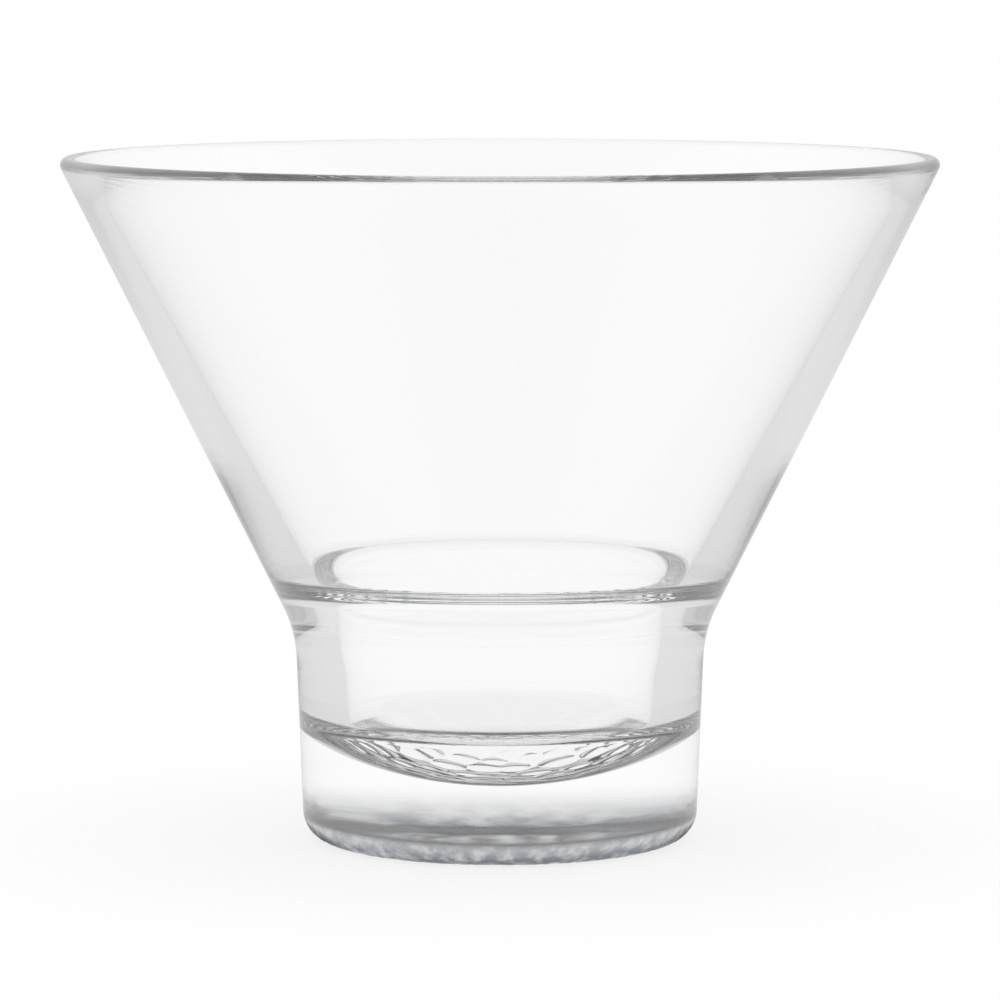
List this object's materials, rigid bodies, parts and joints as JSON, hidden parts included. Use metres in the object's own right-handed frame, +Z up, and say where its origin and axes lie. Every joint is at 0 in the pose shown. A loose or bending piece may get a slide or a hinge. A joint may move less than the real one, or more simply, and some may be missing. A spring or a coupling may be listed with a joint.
{
  "type": "stemless martini glass",
  "caption": "Clear stemless martini glass: a wide cone-shaped bowl with a rounded rim, fused on a short heavy foot that holds a small round well.",
  "frame": {"origin": "middle of the underside, on the surface that the glass stands on", "axes": "+Z up along the axis of the glass, +X and +Y level and alike because the glass is round"},
  "size_m": [0.114, 0.114, 0.0895],
  "materials": {
    "clear_glass": "clear, fire-polished, with a stippled underside"
  },
  "bodies": {
    "root": {"bowl": "clear_glass", "foot": "clear_glass"}
  },
  "joints": []
}
